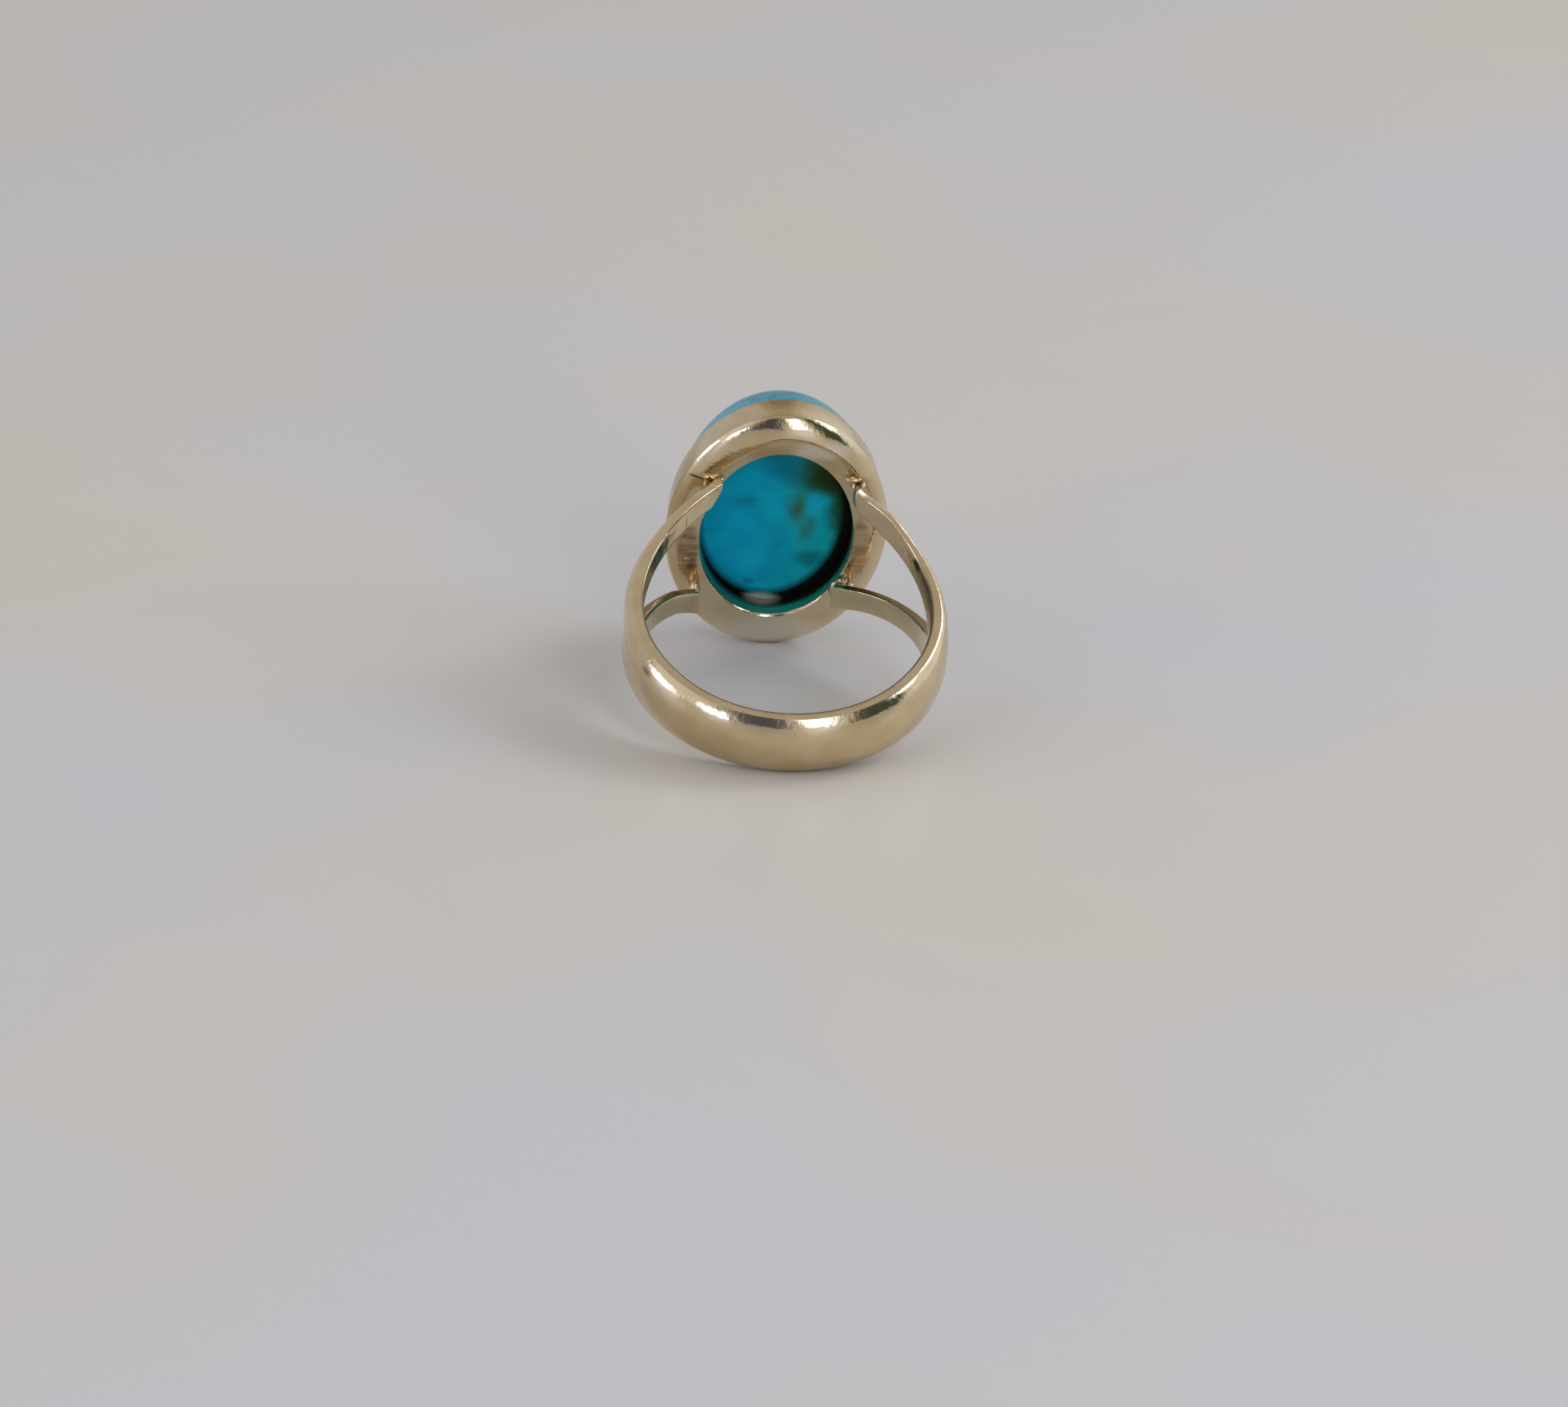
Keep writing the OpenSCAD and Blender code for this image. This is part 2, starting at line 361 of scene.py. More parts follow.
setting = {
    "steps": 160,
    "backY": 9.15,
    "seamY": 9.9,
    "seatY": 10.7,
    "rimY": 11.65,
    "opening": (4.85, 7.0),
    "back": (6.05, 8.45),
    "base": (7.1, 9.95),
    "bezelOutside": (7.0, 9.85),
    "bezelInside": (6.5, 9.35),
    "lipStep": 0.12,
    "lipShare": 0.55,  # how far out the step lies, from the opening to the roll
    "crease": 0.05,  # how far the flat back sinks behind the roll
    "wornFrom": 2.5,  # z at which the lip's steps start to be worn away, and are gone
    "wornFull": -0.5,
    "rollSteps": 24,
    "rollHeight": 0.7,
    "rollTop": 8.87,  # how near the roll comes between the upper arms
    "rollShare": 0.18,  # where its top lies, from its inner edge to its outer one
    "rollDepth": 0.95,
    "rollPower": 1.5,  # below 2, its section is flatter at 45 degrees
    "rollFrom": 5.2,  # z at which the full roll begins and is complete
    "rollFull": 5.6,
    "rollLead": 0.2,  # the share of its section that leads up to its top
    "rollSpread": 0.09,  # how much wider it is on the left, and how far from its inner edge
    "spreadReach": 0.17,
}


# Wear the steps of the lip away towards its lower end.
def wearLip(piece):
    back, opening, backY = setting["back"], setting["opening"], setting["backY"]
    ledgeY = backY + setting["lipStep"]
    for vertex in piece.data.vertices:
        x, y, z = vertex.co / mm
        inBack = (x / back[0])**2 + (z / back[1])**2 < 1.001
        pastOpening = (x / (opening[0] + 0.1))**2 + (z / (opening[1] + 0.1))**2 > 1
        if y < ledgeY + 0.01 and inBack and pastOpening:
            if z < setting["rollFrom"] and y < ledgeY - 0.02:
                y = backY
            vertex.co.y = mix(y, backY, eased(z, setting["wornFrom"], setting["wornFull"])) * mm


# A point of the roll's section, by the way round it from 0 to 1: its share of the width, and y
def rollSection(way):
    topY, topShare, lead = setting["rollTop"], setting["rollShare"], setting["rollLead"]
    if way < lead:
        return topShare * way / lead, mix(setting["backY"], topY, sin(pi * way / (2 * lead)))
    bend = pi / 2 * (way - lead) / (1 - lead)
    power = 2 / setting["rollPower"]
    return mix(topShare, 1, sin(bend)**power), topY + setting["rollDepth"] * (1 - cos(bend)**power)


# Make the roll between the upper arms a thick half-round wire, wider on the left.
def fillRoll(piece):
    back, base = setting["back"], setting["base"]
    for vertex in piece.data.vertices:
        x, y, z = vertex.co / mm
        if z < setting["rollFrom"] or y > setting["seamY"] - 0.03:
            continue
        rise = eased(z, setting["rollFrom"], setting["rollFull"])
        height = (y - setting["backY"]) / setting["rollHeight"]
        if -0.001 < height < 1.001 and (x / back[0])**2 + (z / back[1])**2 > 0.999:
            turn = acos(min(max(1 - height, -1), 1))
            share, newY = rollSection(turn * 2 / pi)
            stretch = [mix(back[i], base[i], share) / mix(back[i], base[i], sin(turn)) for i in range(2)]
            x *= mix(1, stretch[0], rise)
            z *= mix(1, stretch[1], rise)
            y = mix(y, newY, rise)
        reach = sqrt((x / back[0])**2 + (z / back[1])**2)
        near = smooth(1 - abs(reach - 1) / setting["spreadReach"])
        spread = setting["rollSpread"] * smooth(-x / 3) * near * rise
        vertex.co = Vector((x * (1 - spread), y, z * (1 - spread))) * mm


def makeBase():
    opening, back, base = setting["opening"], setting["back"], setting["base"]
    backY, seamY, seatY = setting["backY"], setting["seamY"], setting["seatY"]
    lip = [mix(opening[i], back[i], setting["lipShare"]) for i in range(2)]
    flatY = backY + setting["crease"]
    ledgeY = backY + setting["lipStep"]
    roll = []
    for i in range(setting["rollSteps"] + 1):
        turn = radians(90 * i / setting["rollSteps"])
        oval = [mix(back[j], base[j], sin(turn)) for j in range(2)]
        roll.append((*oval, backY + setting["rollHeight"] * (1 - cos(turn))))
    rings = [
        (*grown(back, -0.08), flatY),
        (*grown(back, -0.04), backY + 0.015),
        *roll,
        (*grown(base, -0.05), seamY),
        (*grown(setting["bezelOutside"], -0.25), seamY),
        (*grown(setting["bezelOutside"], -0.25), seatY),
        (*grown(opening, 0.05), seatY),
        (*opening, seatY - 0.1),
        (*opening, ledgeY + 0.12),
        (*grown(opening, 0.035), ledgeY + 0.035),
        (*grown(opening, 0.12), ledgeY),
        (*grown(lip, -0.1), ledgeY),
        (*grown(lip, -0.02), flatY + 0.01),
        (*grown(lip, 0.03), flatY),
    ]
    piece = ovalLoft("base", rings + [rings[0]], setting["steps"])
    closeUp()
    fillRoll(piece)
    wearLip(piece)
    bevel = {"width": 0.02 * mm, "segments": 2, "limit_method": "ANGLE", "angle_limit": radians(35)}
    finish(piece, [("BEVEL", bevel)])
    return piece


def makeBezel():
    outside, inside = setting["bezelOutside"], setting["bezelInside"]
    seamY, seatY, rimY = setting["seamY"], setting["seatY"], setting["rimY"]
    rings = [
        (*outside, seamY - 0.05),
        (*outside, seamY + 0.1),
        (*grown(outside, -0.06), mix(seamY, rimY, 0.5)),
        (*grown(outside, -0.14), rimY - 0.14),
        (*grown(outside, -0.18), rimY - 0.04),
        (*grown(outside, -0.27), rimY),
        (*grown(inside, 0.07), rimY),
        (*grown(inside, -0.05), rimY - 0.12),
        (*inside, seatY + 0.45),
        (*inside, seamY - 0.05),
    ]
    piece = ovalLoft("bezel", rings + [rings[0]], setting["steps"])
    closeUp()
    finish(piece, [])
    return piece


print("3. The setting")
basePiece = makeBase()
bezelPiece = makeBezel()


# Solder: larger beads that fill the joints, and small ones that stand beside them

solder = {
    "beads": {
        "upper left inner": {"place": (-3.87, 9.15, 5.63), "size": (0.2, 0.16, 0.18)},
        "upper left outer": {"place": (-3.84, 9.1, 5.12), "size": (0.26, 0.14, 0.1)},
        "upper left tip": {"place": (-4.2, 8.25, 5.15), "size": (0.2, 0.26, 0.28)},
        "upper left joint": {"place": (-4.7, 8.85, 3.95), "size": (0.34, 0.45, 0.75)},
        "upper right bar": {"place": (4.55, 8.95, 5.3), "size": (0.52, 0.26, 0.17)},
        "upper right": {"place": (5.15, 8.85, 4.95), "size": (0.17, 0.34, 0.17)},
        "upper right small": {"place": (4.5, 8.58, 5.08), "size": (0.13, 0.3, 0.16)},
        "upper right joint": {"place": (4.93, 8.72, 4.0), "size": (0.36, 0.62, 0.88)},
        "lower left": {"place": (-5.6, 9.14, -1.95), "size": (0.2, 0.14, 0.18)},
        "lower left joint": {"place": (-5.05, 8.75, -4.35), "size": (0.38, 0.62, 0.8)},
        "lower right": {"place": (4.45, 8.95, -3.6), "size": (0.34, 0.34, 0.34)},
        "lower right tail": {"place": (4.95, 8.9, -3.95), "size": (0.24, 0.35, 0.24)},
        "lower right joint": {"place": (3.95, 8.93, -4.4), "size": (0.34, 0.36, 0.72)},
    },
    "waviness": 0.01,
    "waveSize": 0.5,
}


def makeSolder():
    beads = []
    for name, bead in solder["beads"].items():
        clearSelection()
        place = Vector(bead["place"]) * mm
        bpy.ops.mesh.primitive_ico_sphere_add(subdivisions=4, radius=mm, location=place)
        piece = named("solder " + name)
        piece.scale = bead["size"]
        bpy.ops.object.transform_apply(location=True, rotation=True, scale=True)
        beads.append(piece)
    clearSelection()
    for piece in beads:
        piece.select_set(True)
    bpy.context.view_layer.objects.active = beads[0]
    bpy.ops.object.join()
    piece = named("solder")
    clouds = bpy.data.textures.new("solder surface", "CLOUDS")
    clouds.noise_scale = solder["waveSize"] * mm
    finish(piece, [("DISPLACE", {"texture": clouds, "strength": solder["waviness"] * mm})])
    return piece


solderPiece = makeSolder()


# The stone: a cabochon with a flat back

stone = {"steps": 160, "half": (6.45, 9.3), "height": 6.0, "girdle": 0.45, "gap": 0.05, "power": 2.2}


def makeStone():
    low = setting["seatY"] + stone["gap"]
    girdleTop = low + stone["girdle"]
    rise = stone["height"] - stone["girdle"] - stone["gap"]
    half = stone["half"]
    back = [(half[0] * share, half[1] * share, low) for share in (0.03, 0.35, 0.7, 0.9)]
    edge = [(*grown(half, -0.15), low), (*grown(half, -0.04), low + 0.04), (*half, low + 0.15)]
    top = []
    for turn in range(90, 2, -6):
        across = sin(radians(turn)) ** (2 / stone["power"])
        up = cos(radians(turn)) ** (2 / stone["power"])
        top.append((half[0] * across, half[1] * across, girdleTop + rise * up))
    top.append((half[0] * 0.02, half[1] * 0.02, girdleTop + rise - 0.002))
    piece = ovalLoft("cabochon", back + edge + top, stone["steps"])
    closeUp()
    # The limit surface would take long at the poles, where 160 edges meet.
    subdivision = {"levels": 1, "render_levels": 1, "use_limit_surface": False}
    finish(piece, [("SUBSURF", subdivision)], smoothAngle=50)
    return piece


print("4. The stone")
stonePiece = makeStone()


# Materials

# An sRGB hex value as Blender's linear colour
def colour(code):
    channels = [int(code[i:i + 2], 16) / 255 for i in (0, 2, 4)]
    linear = [c / 12.92 if c <= 0.04045 else ((c + 0.055) / 1.055) ** 2.4 for c in channels]
    return (*linear, 1)


# Add a node, set its properties, and set or link its inputs.
def addNode(tree, kind, inputs=None, **settings):
    node = tree.nodes.new(kind)
    for key, value in settings.items():
        setattr(node, key, value)
    for key, value in (inputs or {}).items():
        if isinstance(value, bpy.types.NodeSocket):
            tree.links.new(value, node.inputs[key])
        else:
            node.inputs[key].default_value = value
    return node


# The result of a math node
def combined(tree, operation, *values):
    return addNode(tree, "ShaderNodeMath", dict(enumerate(values)), operation=operation).outputs[0]


# A value's way from start to end, held between low and high
def ranged(tree, value, start, end, low=0, high=1, curve="LINEAR"):
    inputs = {"Value": value, "From Min": start, "From Max": end, "To Min": low, "To Max": high}
    return addNode(tree, "ShaderNodeMapRange", inputs, interpolation_type=curve).outputs[0]


def noise(tree, where, scale, detail, **inputs):
    inputs = {"Vector": where, "Scale": scale, "Detail": detail, **inputs}
    return addNode(tree, "ShaderNodeTexNoise", inputs).outputs[0]


def newMaterial(name):
    material = bpy.data.materials.new(name)
    material.use_nodes = True
    tree = material.node_tree
    tree.nodes.clear()
    surface = addNode(tree, "ShaderNodeBsdfPrincipled")
    addNode(tree, "ShaderNodeOutputMaterial", {"Surface": surface.outputs[0]})
    return material, tree, surface


# Object coordinates turned back to the ring's own frame, in millimetres
def ringFrame(tree):
    place = addNode(tree, "ShaderNodeTexCoord")
    inputs = {
        "Vector": place.outputs["Object"],
        "Location": lie["place"],
        "Rotation": (lie["tilt"], 0, 0),
        "Scale": (mm, mm, mm),
    }
    return addNode(tree, "ShaderNodeMapping", inputs, vector_type="TEXTURE").outputs[0]


# The distance from a mark's middle, where 1 is the surface of an oval body of its half sizes
def reachOf(tree, where, mark):
    inputs = {"Vector": where, "Location": mark["place"], "Scale": mark["size"]}
    local = addNode(tree, "ShaderNodeMapping", inputs, vector_type="TEXTURE").outputs[0]
    return addNode(tree, "ShaderNodeVectorMath", {0: local}, operation="LENGTH").outputs["Value"]


# A soft-edged spot: the mark's depth inside its core, fading to 0 at its edge
def spot(tree, where, mark):
    reach = reachOf(tree, where, mark)
    return ranged(tree, reach, 1, mark.get("core", 0.3), 0, mark.get("depth", 1), "SMOOTHSTEP")


# Lay one colour over another where the mask is 1.
def layer(tree, below, above, mask):
    inputs = {"Factor": mask, 6: below, 7: above}
    return addNode(tree, "ShaderNodeMix", inputs, data_type="RGBA").outputs[2]


# Polished pale gold alloy: a mirror that tints what it reflects, with fine rub marks, a few
# brown stains in the corners and a duller, brushed back of the setting.
gold = {
    "pale": "DDCBA8",
    "warm": "CBB184",
    "stain": "3A2A18",
    "paintedShade": "A8884E",
    "paintedSheen": "F4ECDA",
    # painted shade: dark olive on the arms' faces towards the gap, and dark brown on the band's upper
    # inner edge
    "gapShade": "54502A",
    "rimShade": "5C462C",
    "shadeCover": 0.8,  # how much of the metal's own colour the painted shade covers
    "cloud": 0.45,  # how fine the change from pale to warm is
    "polished": 0.09,
    "rubbed": 0.2,
    "dull": 0.3,  # what brushing and the dulled rim add to the roughness
    "solderRough": 0.2,
    "grain": 0.12,  # mm across the finest marks, drawn coarse enough to show
    "grainDepth": 0.05,
    "wave": 0.55,  # mm between the shallow waves that hand polishing leaves
    "waveDepth": 0.024,
    "brushed": "846650",
    "brushLine": (1.4, 1.4, 0.26),  # mm along and between brush lines
}
# Where the metal is painted darker as shade, stained, or painted paler as a reflected sheen
goldMarks = {
    # painted shade: the left side of the setting and the ledge inside its top, darker and yellower
    "paintedShade": [
        {"place": (-6.4, 10.4, 3.6), "size": (1.8, 1.9, 4.2), "core": 0.3, "depth": 0.6},
        {"place": (-1.1, 9.4, 7.3), "size": (2.3, 0.6, 0.9), "core": 0.3, "depth": 0.5},
    ],
    "stain": [
        {"place": (8.32, 3.5, 3.0), "size": (0.9, 0.6, 0.5), "core": 0.4, "depth": 0.95},
        {"place": (8.85, 1.9, 2.75), "size": (0.5, 1.5, 0.4), "core": 0.3, "depth": 0.85},
        {"place": (9.0, 3.3, 3.9), "size": (0.3, 0.25, 0.2), "depth": 0.7},
        {"place": (-8.96, -4.66, 1.74), "size": (0.5, 0.9, 0.3), "depth": 0.6},
        {"place": (-6.08, 6.7, 3.5), "size": (0.07, 0.3, 0.8), "depth": 0.6},
        {"place": (-4.9, 9.3, 5.1), "size": (0.5, 0.4, 0.3), "depth": 0.8},
        {"place": (4.9, 9.3, 4.6), "size": (0.6, 0.5, 0.4), "depth": 0.7},
        {"place": (-5.5, 9.1, 5.2), "size": (0.75, 0.6, 0.14), "core": 0.5, "depth": 0.85},
        {"place": (-5.3, 9.2, -2.6), "size": (0.5, 0.4, 0.5), "depth": 0.7},
    ],
    # painted sheen: the flat lip below the opening and the flat above it on the right are paler, for
    # brighter reflections
    "paintedSheen": [
        {"place": (-0.2, 9.35, -8.4), "size": (4.6, 1.0, 2.0), "core": 0.3, "depth": 0.65},
        {"place": (2.5, 9.2, 7.5), "size": (2.3, 0.6, 1.1), "core": 0.4, "depth": 0.85},
    ],
}
# The back of the setting is brushed brown beside the opening.
brushedLips = [
    {"place": (-5.6, 9.2, -1.3), "size": (0.85, 0.6, 2.8), "core": 0.6, "depth": 0.95},
    {"place": (5.35, 9.2, -0.8), "size": (0.75, 0.6, 3.0), "core": 0.6, "depth": 0.7},
]


# 1 on the faces of the arms towards the gap between them, which follows the shank's own gap line;
# painted shade darkens the metal there
def gapShadeMask(tree, where):
    x, y, z = addNode(tree, "ShaderNodeSeparateXYZ", {0: where}).outputs
    turn = combined(tree, "ARCTAN2", combined(tree, "ABSOLUTE", x), y)
    way = ranged(tree, turn, radians(shank["splitAngle"]), radians(shank["jointAngle"]))
    inputs = {0: shank["gapBlunt"], 2: way, 3: combined(tree, "SQRT", way)}
    line = addNode(tree, "ShaderNodeMix", inputs).outputs[0]
    edge = combined(tree, "MULTIPLY_ADD", line, shank["armIn"], 0.1)
    inside = combined(tree, "SUBTRACT", edge, combined(tree, "ABSOLUTE", z))
    onArm = ranged(tree, y, setting["backY"] - 0.1, setting["backY"] - 0.3)
    share = combined(tree, "MULTIPLY", ranged(tree, inside, 0, 0.07), onArm)
    return combined(tree, "MULTIPLY", share, way)


# 1 on the band's upper inner edge, which is made rougher and darkened there with painted shade
def rimMask(tree, where):
    x, y, z = addNode(tree, "ShaderNodeSeparateXYZ", {0: where}).outputs
    inputs = {0: where, 1: (1, 1, 0)}
    flat = addNode(tree, "ShaderNodeVectorMath", inputs, operation="MULTIPLY").outputs[0]
    radius = addNode(tree, "ShaderNodeVectorMath", {0: flat}, operation="LENGTH").outputs["Value"]
    near = ranged(tree, radius, shank["fingerRadius"] + 0.2, shank["fingerRadius"] + 0.1)
    share = combined(tree, "MULTIPLY", near, ranged(tree, z, 1.8, 2.0))
    return combined(tree, "MULTIPLY", share, ranged(tree, y, 4, 1))


def paleGold(name, addedRoughness, waveDepth):
    material, tree, surface = newMaterial(name)
    where = ringFrame(tree)
    warmth = ranged(tree, noise(tree, where, gold["cloud"], 3), 0.3, 0.85)
    tone = layer(tree, colour(gold["pale"]), colour(gold["warm"]), warmth)
    for kind, marks in goldMarks.items():
        for mark in marks:
            tone = layer(tree, tone, colour(gold[kind]), spot(tree, where, mark))
    rim = rimMask(tree, where)
    for kind, mask in {"gapShade": gapShadeMask(tree, where), "rimShade": rim}.items():
        tone = layer(tree, tone, colour(gold[kind]), combined(tree, "MULTIPLY", mask, gold["shadeCover"]))
    inputs = {"Vector": where, "Scale": gold["brushLine"]}
    strokes = addNode(tree, "ShaderNodeMapping", inputs, vector_type="TEXTURE").outputs[0]
    lines = ranged(tree, noise(tree, strokes, 1, 3), 0.2, 0.75)
    brushed = 0
    for mark in brushedLips:
        brushed = combined(tree, "MAXIMUM", spot(tree, where, mark), brushed)
    tone = layer(tree, tone, colour(gold["brushed"]), combined(tree, "MULTIPLY", brushed, lines))
    grain = noise(tree, where, 1 / gold["grain"], 4)
    lowest, highest = gold["polished"] + addedRoughness, gold["rubbed"] + addedRoughness
    polish = ranged(tree, grain, 0.3, 0.75, lowest, highest)
    dull = combined(tree, "MAXIMUM", brushed, rim)
    roughness = combined(tree, "MULTIPLY_ADD", dull, gold["dull"], polish)
    wave = noise(tree, where, 1 / gold["wave"], 3)
    inputs = {"Strength": 1, "Distance": waveDepth * mm, "Height": wave}
    uneven = addNode(tree, "ShaderNodeBump", inputs).outputs[0]
    inputs = {"Strength": 0.05, "Distance": gold["grainDepth"] * mm, "Height": grain, "Normal": uneven}
    bump = addNode(tree, "ShaderNodeBump", inputs).outputs[0]
    tree.links.new(tone, surface.inputs["Base Color"])
    tree.links.new(roughness, surface.inputs["Roughness"])
    tree.links.new(bump, surface.inputs["Normal"])
    surface.inputs["Metallic"].default_value = 1
    return material


# Natural turquoise, cut and polished: opaque blue that turns greener to one side, with olive and
# brown matrix in patches and a waxy gloss. Its back is left rough, and its blues are painted brighter
# than the dome's to stand in for light that hardly reaches it.
turquoise = {
    "blue": "00B0D4",
    "green": "08B0AE",
    "deep": "008CAC",
    "paleTealAndReflection": "14C2E0",
    "olive": "1E5A3A",
    "moss": "24360A",
    "matrix": "34602E",
    "darkTealAndShade": "046A72",
    # painted reflection low on the back
    "lens": "A8C0B8",
    # painted shade round the back's edge
    "rim": "060B08",
    "dome": "50A4B8",
    "domeGreen": "2C9A96",
    "vein": "4A4A34",
    "waviness": 1.3,  # mm by which the patches' outlines wander
    "cloud": 1.6,  # mm across the pattern's clouds
    "ior": 1.61,
}
turquoiseMarks = [
    ("olive", {"place": (3.0, 10.75, 4.3), "size": (2.8, 1.6, 3.2), "core": 0.4, "depth": 0.97}),
    ("olive", {"place": (4.7, 10.75, 1.2), "size": (1.9, 1.6, 4.6), "core": 0.35, "depth": 0.97}),
    ("moss", {"place": (3.4, 10.75, 3.7), "size": (1.8, 1.6, 2.0), "core": 0.3, "depth": 0.95}),
    ("matrix", {"place": (1.3, 10.75, 1.1), "size": (0.9, 1.4, 2.2), "core": 0.05, "depth": 0.85}),
    ("matrix", {"place": (2.1, 10.75, -0.8), "size": (0.9, 1.4, 2.2), "core": 0.05, "depth": 0.6}),
    # darker teal: partly the stone's own tone, partly painted shade near the top and right edges of the
    # back
    ("darkTealAndShade", {"place": (2.4, 10.75, -3.4), "size": (1.7, 1.4, 1.2), "core": 0.1, "depth": 0.8}),
    ("darkTealAndShade", {"place": (-1.7, 10.75, 1.7), "size": (1.1, 1.4, 0.8), "core": 0.05, "depth": 0.5}),
    ("darkTealAndShade", {"place": (-0.3, 10.75, 5.6), "size": (2.0, 1.4, 2.2), "core": 0.05, "depth": 0.7}),
    ("darkTealAndShade", {"place": (0.8, 10.75, 4.0), "size": (1.6, 1.4, 2.2), "core": 0.05, "depth": 0.6}),
    ("darkTealAndShade", {"place": (-1.4, 10.75, -5.5), "size": (0.6, 1.4, 0.5), "core": 0.1, "depth": 0.6}),
    # paler teal: partly the stone's own tone, partly a painted reflection of the lit table
    ("paleTealAndReflection", {"place": (-1.5, 10.75, -3.4), "size": (2.2, 1.4, 2.4), "core": 0.05, "depth": 0.5}),
    ("paleTealAndReflection", {"place": (2.65, 10.75, 1.3), "size": (1.1, 1.4, 1.5), "core": 0.05, "depth": 0.55}),
]


# Places whose outlines wander, as the stone's patches do
def wandering(tree, straight):
    inputs = {"Vector": straight, "Scale": 1 / turquoise["cloud"], "Detail": 5, "Roughness": 0.6}
    drift = addNode(tree, "ShaderNodeTexNoise", inputs)
    inputs = {0: drift.outputs["Color"], 1: (-0.5, -0.5, -0.5)}
    centred = addNode(tree, "ShaderNodeVectorMath", inputs, operation="ADD").outputs[0]
    inputs = {0: centred, 1: [turquoise["waviness"]] * 3, 2: straight}
    return addNode(tree, "ShaderNodeVectorMath", inputs, operation="MULTIPLY_ADD").outputs[0]


# Painted shade: the stone's back is near black round its edge low down and on the right, outside this
# oval.
paintedShadeEdge = {"place": (-0.3, 10.75, 0.35), "size": (4.5, 50, 6.7)}
# painted reflection: a grey lens low on the stone's back
reflectionLens = {"place": (-0.7, 10.75, -7.1), "size": (1.8, 1.0, 0.85), "core": 0.3, "depth": 0.95}


# The stone's back: painted shade round its edge, and a painted grey reflection low down
def sawnTurquoise():
    material, tree, surface = newMaterial("sawn_turquoise")
    straight = ringFrame(tree)
    where = wandering(tree, straight)
    across = addNode(tree, "ShaderNodeSeparateXYZ", {0: where}).outputs[0]
    greenness = ranged(tree, across, -3, 3.5)
    # painted light: the back's blues are brighter than the dome's
    tone = layer(tree, colour(turquoise["blue"]), colour(turquoise["green"]), greenness)
    depth = ranged(tree, noise(tree, straight, 0.32, 3), 0.45, 0.75)
    tone = layer(tree, tone, colour(turquoise["deep"]), depth)
    for name, mark in turquoiseMarks:
        tone = layer(tree, tone, colour(turquoise[name]), spot(tree, where, mark))
    edge = ranged(tree, reachOf(tree, straight, paintedShadeEdge), 0.94, 1.05)
    tone = layer(tree, tone, colour(turquoise["rim"]), edge)
    tone = layer(tree, tone, colour(turquoise["lens"]), spot(tree, straight, reflectionLens))
    tree.links.new(tone, surface.inputs["Base Color"])
    surface.inputs["Roughness"].default_value = 0.6
    surface.inputs["IOR"].default_value = turquoise["ior"]
    surface.inputs["Specular IOR Level"].default_value = 0.06
    return material


# The dome: the same stone, polished, with thin matrix veins
def polishedTurquoise():
    material, tree, surface = newMaterial("polished_turquoise")
    where = wandering(tree, ringFrame(tree))
    net = noise(tree, where, 0.3, 4, Distortion=0.6)
    ridge = combined(tree, "ABSOLUTE", combined(tree, "SUBTRACT", net, 0.5))
    across = addNode(tree, "ShaderNodeSeparateXYZ", {0: where}).outputs[0]
    greenness = ranged(tree, across, -3, 7)
    tone = layer(tree, colour(turquoise["dome"]), colour(turquoise["domeGreen"]), greenness)
    patches = ranged(tree, noise(tree, where, 0.22, 3), 0.56, 0.7)
    tone = layer(tree, tone, colour(turquoise["olive"]), patches)
    veins = ranged(tree, ridge, 0.02, 0.003, 0, 0.35)
    tone = layer(tree, tone, colour(turquoise["vein"]), veins)
    tree.links.new(tone, surface.inputs["Base Color"])
    surface.inputs["Roughness"].default_value = 0.2
    surface.inputs["IOR"].default_value = turquoise["ior"]
    return material


print("5. Materials")
metal = paleGold("polished_pale_gold", 0, gold["waveDepth"])
dressing = {
    shankPiece: [metal],
    basePiece: [metal],
    bezelPiece: [metal],
    solderPiece: [paleGold("pale_gold_solder", gold["solderRough"], 0)],
    stonePiece: [polishedTurquoise(), sawnTurquoise()],
}
for piece, materials in dressing.items():
    layDown(piece)
    piece.data.materials.clear()
    for material in materials:
        piece.data.materials.append(material)
    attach(piece, "root")
# The stone's flat back, which faces the finger, keeps the saw's finish.
backFacing = layMatrix.to_3x3() @ Vector((0, -1, 0))
for face in stonePiece.data.polygons:
    face.material_index = 1 if face.normal.dot(backFacing) > 0.5 else 0
for piece in (shankPiece, basePiece, bezelPiece, solderPiece):
    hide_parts("ring_metal")
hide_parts("turquoise")


# The table, the light and the camera

print("6. Table, light and camera")
bpy.context.scene.view_settings.view_transform = "Standard"
clearSelection()
bpy.ops.mesh.primitive_plane_add(size=3, location=(0, 0, 0))
table = named("table")

# Matt white laminate: plain and pale, a little warmer in places
laminate = {"cool": "DEDAD8", "warm": "E2DACA", "patch": 60, "roughness": 0.38}


def paleTable():
    material, tree, surface = newMaterial("pale_laminate")
    place = addNode(tree, "ShaderNodeTexCoord").outputs["Object"]
    cloud = noise(tree, place, 1 / (laminate["patch"] * mm), 2)
    warmth = ranged(tree, cloud, 0.35, 0.65)
    tone = layer(tree, colour(laminate["cool"]), colour(laminate["warm"]), warmth)
    tree.links.new(tone, surface.inputs["Base Color"])
    surface.inputs["Roughness"].default_value = laminate["roughness"]
    return material


table.data.materials.append(paleTable())

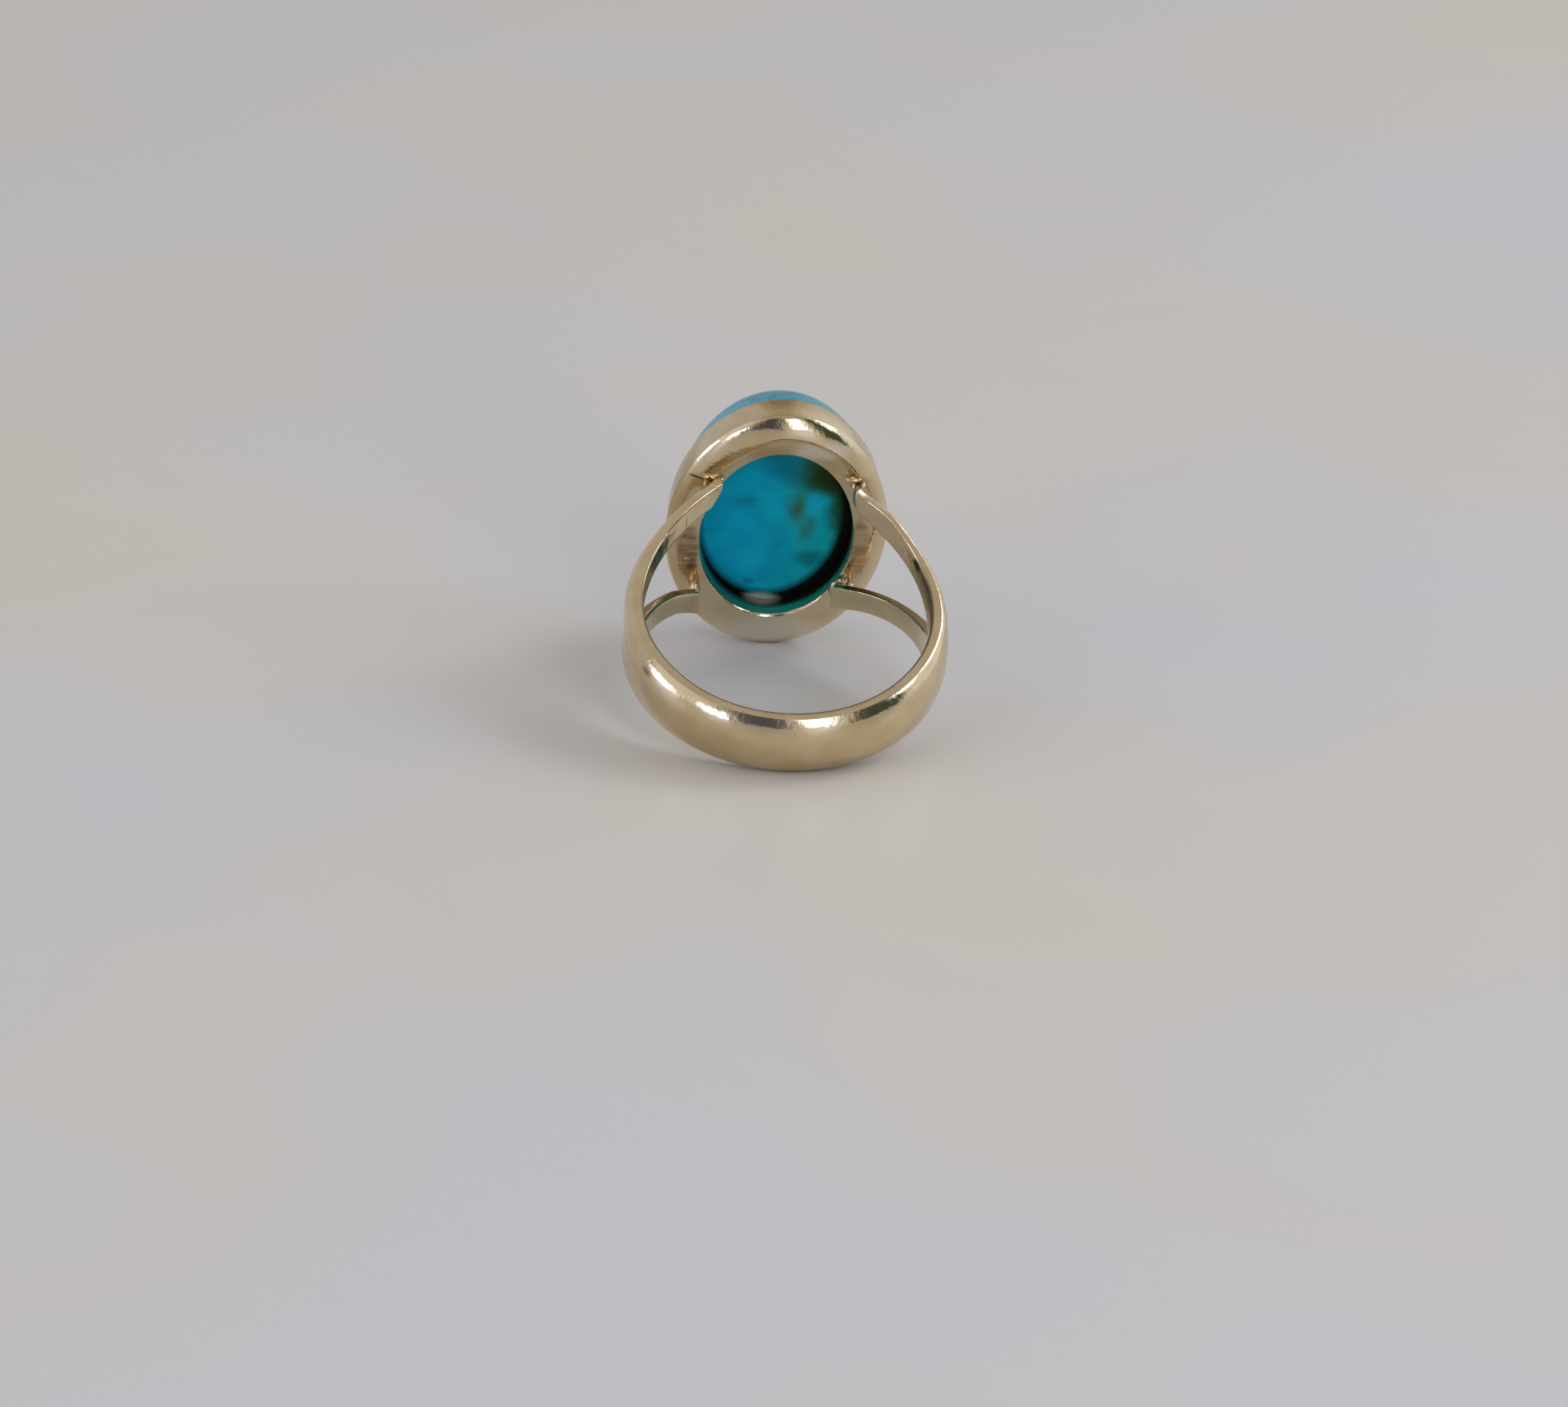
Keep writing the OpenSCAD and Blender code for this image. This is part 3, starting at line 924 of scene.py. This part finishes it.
# Soft boxes, by their direction (azimuth from the right and elevation, in degrees) and their sides
# in metres. The first lights the table, and the others are bright shapes for the metal to mirror.
reach = 0.6
lights = {
    "key": {"direction": (14, 40), "sides": (0.22, 0.22), "power": 0.6, "colour": "F0F6FF"},
    "side": {"direction": (-19, 31), "sides": (0.16, 0.2), "power": 0.3, "colour": "D0E0FF"},
    "window": {"direction": (-72, 27), "sides": (0.17, 0.5), "power": 0.75, "colour": "C8D8FF"},
    "left strip": {"direction": (-133, 7), "sides": (0.16, 0.2), "power": 0.4, "colour": "B8CCFF"},
    "far left strip": {"direction": (-172, 2), "sides": (0.26, 0.24), "power": 0.75, "colour": "C4D4FF"},
}
aim = Vector((0, 0, 8 * mm))
for name, light in lights.items():
    lamp = bpy.data.lights.new(name, "AREA")
    lamp.shape = "RECTANGLE"
    lamp.size, lamp.size_y = light["sides"]
    lamp.energy = light["power"]
    lamp.color = colour(light["colour"])[:3]
    holder = bpy.data.objects.new(name, lamp)
    bpy.context.scene.collection.objects.link(holder)
    azimuth, elevation = light["direction"]
    turn = Euler((0, -radians(elevation), radians(azimuth)))
    out = turn.to_matrix() @ Vector((1, 0, 0))
    holder.location = aim + out * reach
    holder.rotation_euler = (-out).to_track_quat("-Z", "Y").to_euler()

# The room round the table: its walls by azimuth, with bright windows and dark gaps that the metal
# mirrors, and a plain ceiling. A tone's brightness is a share of full white.
room = {
    "walls": [
        (-180, "ECF2FF", 0.95),
        (-150, "F0F4FF", 0.90),
        (-135, "F0F4FF", 0.85),
        (-122, "F4EEE8", 0.42),
        (-113, "C0CCFF", 0.17),
        (-93, "C0CCFF", 0.17),
        (-84, "F4F0EC", 0.80),
        (-62, "F0F4FF", 1.00),
        (-54, "F4EEE0", 0.50),
        (-47, "D0ECC8", 0.09),
        (-21, "D0ECC8", 0.09),
        (-16, "ECF2FF", 1.00),
        (25, "ECF2FF", 1.10),
        (50, "F0F4FF", 0.85),
        (68, "F8F2E8", 0.55),
        (80, "FFECD8", 0.30),
        (98, "FFECD8", 0.32),
        (112, "F4F4FA", 0.62),
        (150, "F4F4FA", 0.60),
        (179, "F4F2F0", 0.56),
    ],
    "ceiling": ("FAF6F0", 0.54),
    "ceilingFrom": 0.72,  # sines of the elevations where the walls end and the ceiling is plain
    "ceilingFull": 0.92,
}


def dimmed(code, brightness):
    red, green, blue, alpha = colour(code)
    return (red * brightness, green * brightness, blue * brightness, alpha)


world = bpy.data.worlds.new("room")
bpy.context.scene.world = world
world.use_nodes = True
tree = world.node_tree
direction = addNode(tree, "ShaderNodeTexCoord").outputs["Generated"]
across, along, up = addNode(tree, "ShaderNodeSeparateXYZ", {0: direction}).outputs
turnShare = ranged(tree, combined(tree, "ARCTAN2", along, across), -pi, pi)
walls = addNode(tree, "ShaderNodeValToRGB", {0: turnShare})
stops = walls.color_ramp.elements
stops.remove(stops[1])
for number, (turn, code, brightness) in enumerate(room["walls"]):
    stop = stops[0] if number == 0 else stops.new((turn + 180) / 360)
    stop.color = dimmed(code, brightness)
height = ranged(tree, up, room["ceilingFrom"], room["ceilingFull"], curve="SMOOTHSTEP")
tone = layer(tree, walls.outputs[0], dimmed(*room["ceiling"]), height)
tree.links.new(tone, tree.nodes["Background"].inputs["Color"])

# The camera, in the ring's frame like the pieces
view = {"place": (-42.39, -346.92, 341.07), "turn": (45.095, -3.695, -3.343), "lens": 178.09}
cameraData = bpy.data.cameras.new("camera")
cameraData.lens = view["lens"]
cameraData.sensor_width = 36
cameraData.clip_start = 0.01
camera = bpy.data.objects.new("camera", cameraData)
bpy.context.scene.collection.objects.link(camera)
facing = Euler([radians(angle) for angle in view["turn"]])
camera.matrix_world = layMatrix @ Matrix.LocRotScale(Vector(view["place"]) * mm, facing, None)
bpy.context.scene.camera = camera
